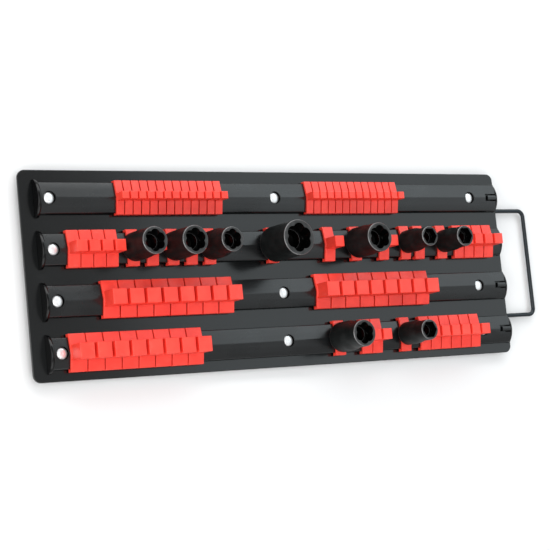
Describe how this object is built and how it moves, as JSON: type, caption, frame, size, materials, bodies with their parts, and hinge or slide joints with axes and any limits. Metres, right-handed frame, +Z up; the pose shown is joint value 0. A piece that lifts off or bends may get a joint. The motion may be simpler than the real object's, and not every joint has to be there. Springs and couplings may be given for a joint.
{
  "type": "socket organizer tray",
  "caption": "Flat socket tray: rails of sliding square-post clips on a steel plate, with lift-off sockets and a slide-out wire handle.",
  "frame": {"origin": "on the surface that the feet stand on, under the middle of the plate", "axes": "+X runs along the rails towards the wire handle, +Y across the rails towards the quarter inch row, +Z up through the posts"},
  "size_m": [0.521, 0.168, 0.0563],
  "materials": {
    "plate": "black powder coat, satin",
    "rail": "black moulded rail, satin",
    "cap": "black moulded cap, satin",
    "clip": "red moulded plastic, satin",
    "socket": "black phosphate steel, matt with bare rims",
    "rivet": "bright dome",
    "wire": "black coated wire",
    "rubber": "matt rubber",
    "strap": "black powder coat"
  },
  "bodies": {
    "root": {"base_plate": "plate", "rubber_feet": "rubber", "rail_rivets": "rivet", "handle_guides": "strap", "rail_1": "rail", "rail_2": "rail", "rail_3": "rail", "rail_4": "rail", "left_end_cap_1": "cap", "left_end_cap_2": "cap", "left_end_cap_3": "cap", "left_end_cap_4": "cap", "right_end_cap_1": "cap", "right_end_cap_2": "cap", "right_end_cap_3": "cap", "right_end_cap_4": "cap"},
    "handle": {"carry_handle": "wire"},
    "quarter_run_left": {"quarter_clips_left": "clip"},
    "quarter_run_right": {"quarter_clips_right": "clip"},
    "three_eighth_run_left": {"three_eighth_clips_left": "clip"},
    "socket_run_left": {"clip_socket_22": "clip", "spare_clip_1": "clip", "clip_socket_23": "clip", "spare_clip_2": "clip", "clip_socket_20": "clip"},
    "large_socket_clip": {"clip_socket_30": "clip"},
    "free_clip_3": {"spare_clip_3": "clip"},
    "medium_socket_clip": {"clip_socket_26": "clip"},
    "free_clip_4": {"spare_clip_4": "clip"},
    "hex_socket_clip_17": {"clip_socket_17": "clip"},
    "free_clip_5": {"spare_clip_5": "clip"},
    "hex_socket_clip_18": {"clip_socket_18": "clip"},
    "three_eighth_run_right": {"three_eighth_clips_right": "clip"},
    "half_run_upper_left": {"half_clips_upper_left": "clip"},
    "half_run_upper_right": {"half_clips_upper_right": "clip"},
    "half_run_lower_left": {"half_clips_lower_left": "clip"},
    "lower_socket_clip_23": {"clip_socket_23_short": "clip"},
    "free_clip_pair": {"spare_clip_pair": "clip"},
    "lower_socket_clip_18": {"clip_socket_18_short": "clip"},
    "three_eighth_run_lower": {"three_eighth_clips_lower": "clip"},
    "socket_22": {"socket_22": "socket"},
    "socket_23": {"socket_23": "socket"},
    "socket_20": {"socket_20": "socket"},
    "socket_30": {"socket_30": "socket"},
    "socket_26": {"socket_26": "socket"},
    "socket_17": {"socket_17": "socket"},
    "socket_18": {"socket_18": "socket"},
    "socket_23_short": {"socket_23_short": "socket"},
    "socket_18_short": {"socket_18_short": "socket"}
  },
  "joints": [
    {"name": "handle_slide", "type": "slide", "parent": "root", "child": "handle", "axis": [1, 0, 0], "range_m": [-0.03, 0]},
    {"name": "quarter_run_left_slide", "type": "slide", "parent": "root", "child": "quarter_run_left", "axis": [1, 0, 0], "range_m": [-0.0579, 0.0405]},
    {"name": "quarter_run_right_slide", "type": "slide", "parent": "root", "child": "quarter_run_right", "axis": [1, 0, 0], "range_m": [-0.0435, 0.105]},
    {"name": "three_eighth_run_left_slide", "type": "slide", "parent": "root", "child": "three_eighth_run_left", "axis": [1, 0, 0], "range_m": [-0.0116, 0.001]},
    {"name": "socket_run_left_slide", "type": "slide", "parent": "root", "child": "socket_run_left", "axis": [1, 0, 0], "range_m": [-0.0011, 0.0168]},
    {"name": "large_socket_clip_slide", "type": "slide", "parent": "root", "child": "large_socket_clip", "axis": [1, 0, 0], "range_m": [-0.0174, 0.0185]},
    {"name": "free_clip_3_slide", "type": "slide", "parent": "root", "child": "free_clip_3", "axis": [1, 0, 0], "range_m": [-0.0188, 0.0049]},
    {"name": "medium_socket_clip_slide", "type": "slide", "parent": "root", "child": "medium_socket_clip", "axis": [1, 0, 0], "range_m": [-0.0049, 0.0053]},
    {"name": "free_clip_4_slide", "type": "slide", "parent": "root", "child": "free_clip_4", "axis": [1, 0, 0], "range_m": [-0.0054, 0.0046]},
    {"name": "hex_socket_clip_17_slide", "type": "slide", "parent": "root", "child": "hex_socket_clip_17", "axis": [1, 0, 0], "range_m": [-0.0044, 0]},
    {"name": "free_clip_5_slide", "type": "slide", "parent": "root", "child": "free_clip_5", "axis": [1, 0, 0], "range_m": [0, 0.0052]},
    {"name": "hex_socket_clip_18_slide", "type": "slide", "parent": "root", "child": "hex_socket_clip_18", "axis": [1, 0, 0], "range_m": [-0.0051, 0.0018]},
    {"name": "three_eighth_run_right_slide", "type": "slide", "parent": "root", "child": "three_eighth_run_right", "axis": [1, 0, 0], "range_m": [-0.0019, 0.0014]},
    {"name": "half_run_upper_left_slide", "type": "slide", "parent": "root", "child": "half_run_upper_left", "axis": [1, 0, 0], "range_m": [-0.0383, 0.0408]},
    {"name": "half_run_upper_right_slide", "type": "slide", "parent": "root", "child": "half_run_upper_right", "axis": [1, 0, 0], "range_m": [-0.0414, 0.0815]},
    {"name": "half_run_lower_left_slide", "type": "slide", "parent": "root", "child": "half_run_lower_left", "axis": [1, 0, 0], "range_m": [-0.0061, 0.062]},
    {"name": "lower_socket_clip_23_slide", "type": "slide", "parent": "root", "child": "lower_socket_clip_23", "axis": [1, 0, 0], "range_m": [-0.062, 0.0048]},
    {"name": "free_clip_pair_slide", "type": "slide", "parent": "root", "child": "free_clip_pair", "axis": [1, 0, 0], "range_m": [-0.0049, 0.0079]},
    {"name": "lower_socket_clip_18_slide", "type": "slide", "parent": "root", "child": "lower_socket_clip_18", "axis": [1, 0, 0], "range_m": [-0.008, 0.003]},
    {"name": "three_eighth_run_lower_slide", "type": "slide", "parent": "root", "child": "three_eighth_run_lower", "axis": [1, 0, 0], "range_m": [-0.0031, 0.0279]},
    {"name": "socket_22_lift", "type": "slide", "parent": "socket_run_left", "child": "socket_22", "axis": [0, 0, 1], "range_m": [0, 0.03]},
    {"name": "socket_23_lift", "type": "slide", "parent": "socket_run_left", "child": "socket_23", "axis": [0, 0, 1], "range_m": [0, 0.03]},
    {"name": "socket_20_lift", "type": "slide", "parent": "socket_run_left", "child": "socket_20", "axis": [0, 0, 1], "range_m": [0, 0.03]},
    {"name": "socket_30_lift", "type": "slide", "parent": "large_socket_clip", "child": "socket_30", "axis": [0, 0, 1], "range_m": [0, 0.03]},
    {"name": "socket_26_lift", "type": "slide", "parent": "medium_socket_clip", "child": "socket_26", "axis": [0, 0, 1], "range_m": [0, 0.03]},
    {"name": "socket_17_lift", "type": "slide", "parent": "hex_socket_clip_17", "child": "socket_17", "axis": [0, 0, 1], "range_m": [0, 0.03]},
    {"name": "socket_18_lift", "type": "slide", "parent": "hex_socket_clip_18", "child": "socket_18", "axis": [0, 0, 1], "range_m": [0, 0.03]},
    {"name": "socket_23_short_lift", "type": "slide", "parent": "lower_socket_clip_23", "child": "socket_23_short", "axis": [0, 0, 1], "range_m": [0, 0.03]},
    {"name": "socket_18_short_lift", "type": "slide", "parent": "lower_socket_clip_18", "child": "socket_18_short", "axis": [0, 0, 1], "range_m": [0, 0.03]}
  ]
}
